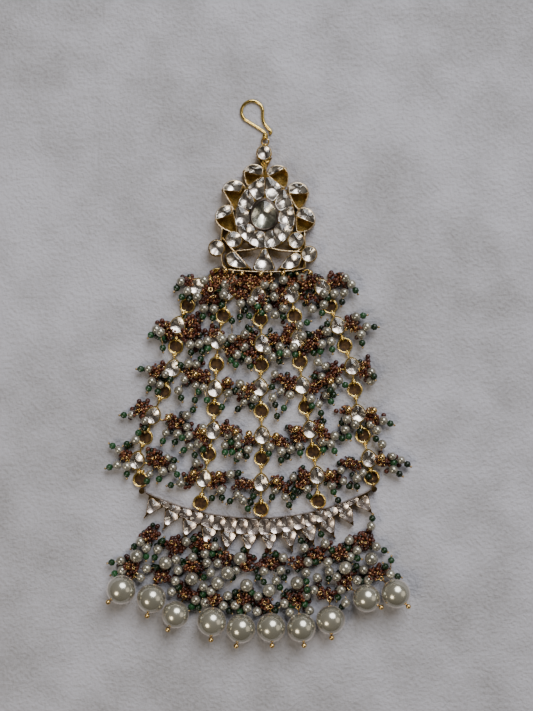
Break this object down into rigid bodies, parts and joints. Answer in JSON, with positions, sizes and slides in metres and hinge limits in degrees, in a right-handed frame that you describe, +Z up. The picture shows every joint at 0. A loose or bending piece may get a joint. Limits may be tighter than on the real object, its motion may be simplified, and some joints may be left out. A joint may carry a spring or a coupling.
{
  "type": "passa jhoomar headpiece",
  "caption": "Side headpiece: hook and soldered crown of uncut stones, chains of pear collets with bead bunches, a crescent bar with spikes and a pearl fringe, laid flat.",
  "frame": {"origin": "middle of the outline, on the surface the headpiece lies on", "axes": "+Y from the fringe to the hook, +X to the right as worn side up, +Z up from the surface"},
  "size_m": [0.0967, 0.1698, 0.009],
  "materials": {
    "gold": "antique gold plate, satin, darker in the hollows",
    "stone": "uncut polki stone on silver foil, smooth top",
    "beads": "glossy red seed beads with small pearls and green beads",
    "pearl": "cream pearl, soft gloss"
  },
  "bodies": {
    "root": {"hook": "gold", "hook_ring": "gold", "crown_frame": "gold", "crown_field_stones": "stone", "crown_pear_stone": "stone", "crown_top_stone": "stone", "round_left_inner_stone": "stone", "round_right_inner_stone": "stone", "round_left_corner_stone": "stone", "round_right_corner_stone": "stone", "moon_left_top_stone": "stone", "moon_right_top_stone": "stone", "moon_left_upper_stone": "stone", "moon_right_upper_stone": "stone", "moon_left_middle_stone": "stone", "moon_right_middle_stone": "stone", "leaf_left_stone": "stone", "triangle_stone": "stone", "leaf_right_stone": "stone", "strand_1_links": "gold", "strand_2_links": "gold", "strand_3_links": "gold", "strand_4_links": "gold", "strand_5_links": "gold", "strand_1_stones": "stone", "strand_2_stones": "stone", "strand_3_stones": "stone", "strand_4_stones": "stone", "strand_5_stones": "stone", "strand_1_bunches": "beads", "strand_2_bunches": "beads", "strand_3_bunches": "beads", "strand_4_bunches": "beads", "strand_5_bunches": "beads", "bar_frame": "gold", "bar_stones": "stone", "spike_stones": "stone", "fringe_1_string": "beads", "fringe_2_string": "beads", "fringe_3_string": "beads", "fringe_4_string": "beads", "fringe_5_string": "beads", "fringe_6_string": "beads", "fringe_7_string": "beads", "fringe_8_string": "beads", "fringe_9_string": "beads", "fringe_10_string": "beads", "fringe_1_pearl": "pearl", "fringe_2_pearl": "pearl", "fringe_3_pearl": "pearl", "fringe_4_pearl": "pearl", "fringe_5_pearl": "pearl", "fringe_6_pearl": "pearl", "fringe_7_pearl": "pearl", "fringe_8_pearl": "pearl", "fringe_9_pearl": "pearl", "fringe_10_pearl": "pearl"}
  },
  "joints": []
}
